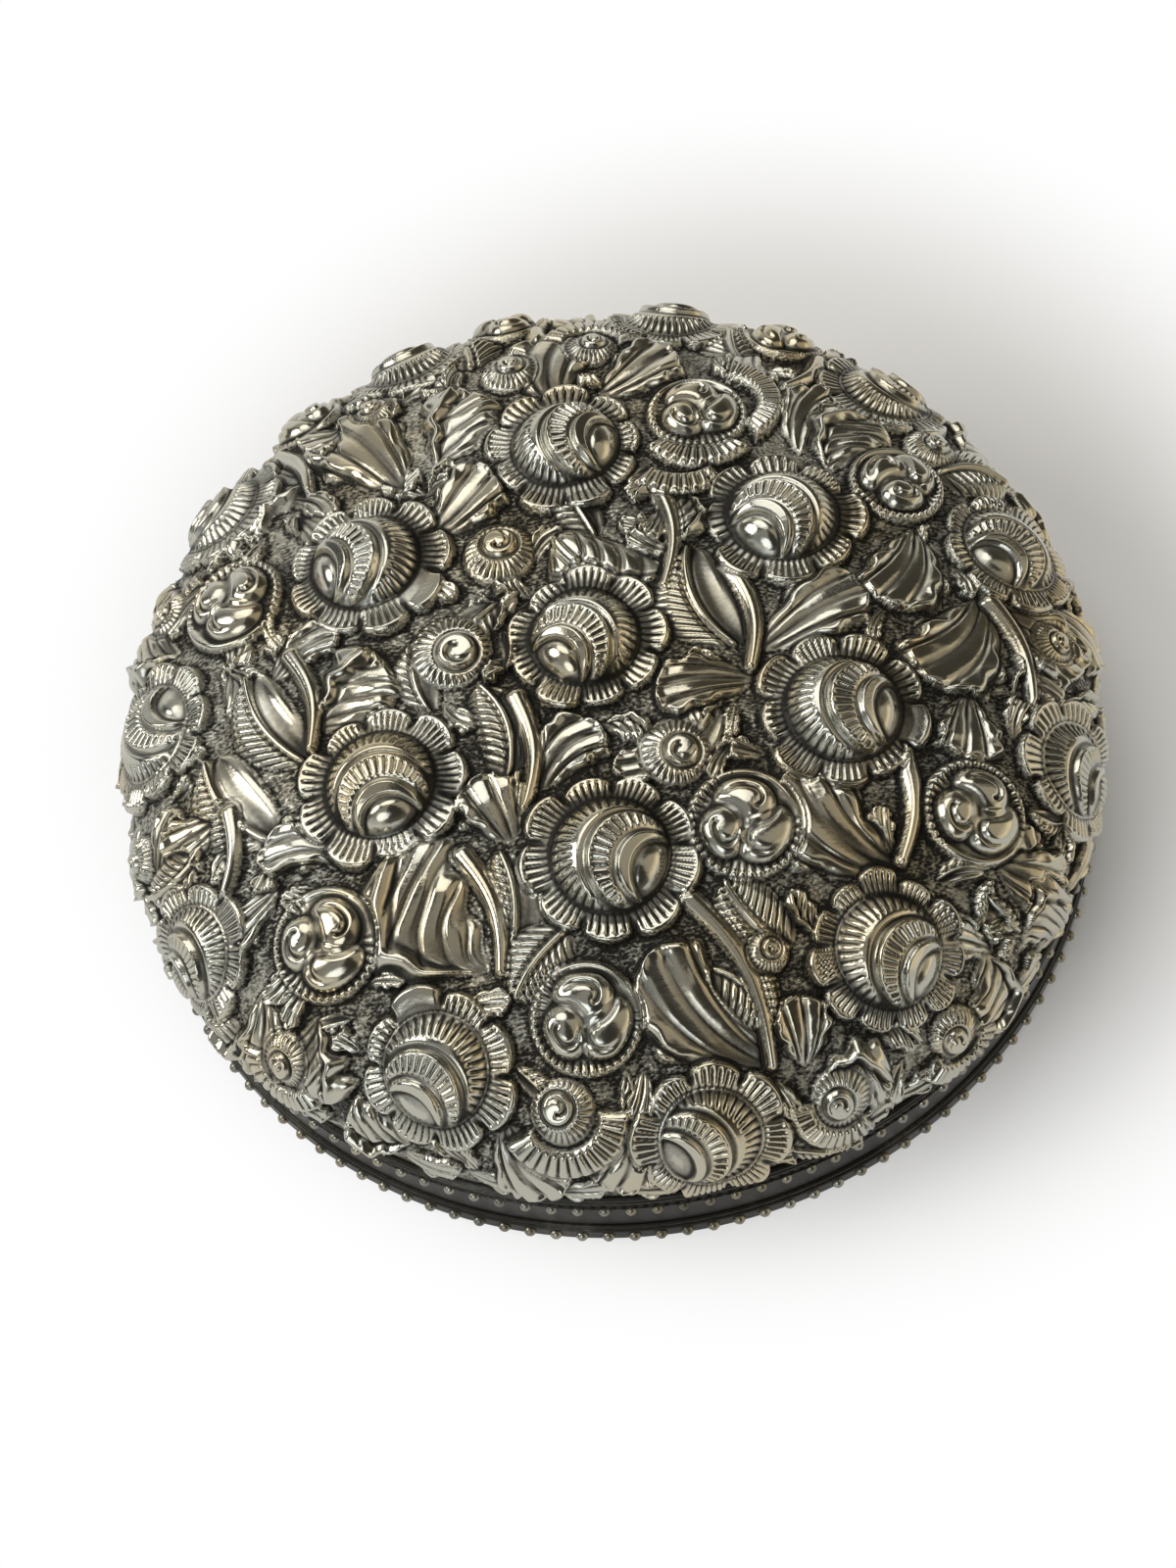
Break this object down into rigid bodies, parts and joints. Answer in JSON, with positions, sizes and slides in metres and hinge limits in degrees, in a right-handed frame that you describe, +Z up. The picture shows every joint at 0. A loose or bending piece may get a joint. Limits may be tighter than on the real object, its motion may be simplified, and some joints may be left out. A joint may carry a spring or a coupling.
{
  "type": "round keepsake box",
  "caption": "Round bun-shaped silver keepsake box: a lift-off lid raised in high floral relief slips over the collar of a beaded, velvet-lined base.",
  "frame": {"origin": "middle of the foot rim's underside, on the surface that the box stands on", "axes": "+Z up along the box's axis; -Y towards the side that the picture is taken from"},
  "size_m": [0.1479, 0.1491, 0.0513],
  "materials": {
    "relief_silver": "tarnished silver, dark in the hollows and bright on the high places",
    "band_silver": "tarnished silver, dark in the hollows and bright on the high places",
    "bead_silver": "tarnished silver, dark in the hollows and bright on the high places",
    "plain_silver": "plain sheet silver, lightly tarnished",
    "velvet": "dark red velvet"
  },
  "bodies": {
    "base": {"base_rim": "band_silver", "base_bead_row": "bead_silver", "base_plate": "plain_silver", "base_collar": "plain_silver", "wall_lining": "velvet", "floor_pad": "velvet"},
    "lid": {"lid_crown": "relief_silver", "lid_ridge_moulding": "band_silver", "lid_skirt": "band_silver", "lid_bead_row": "bead_silver", "lid_edge_wire": "band_silver"}
  },
  "joints": [
    {"name": "lid_lift", "type": "slide", "parent": "base", "child": "lid", "axis": [0, 0, 1], "range_m": [0, 0.1]}
  ]
}
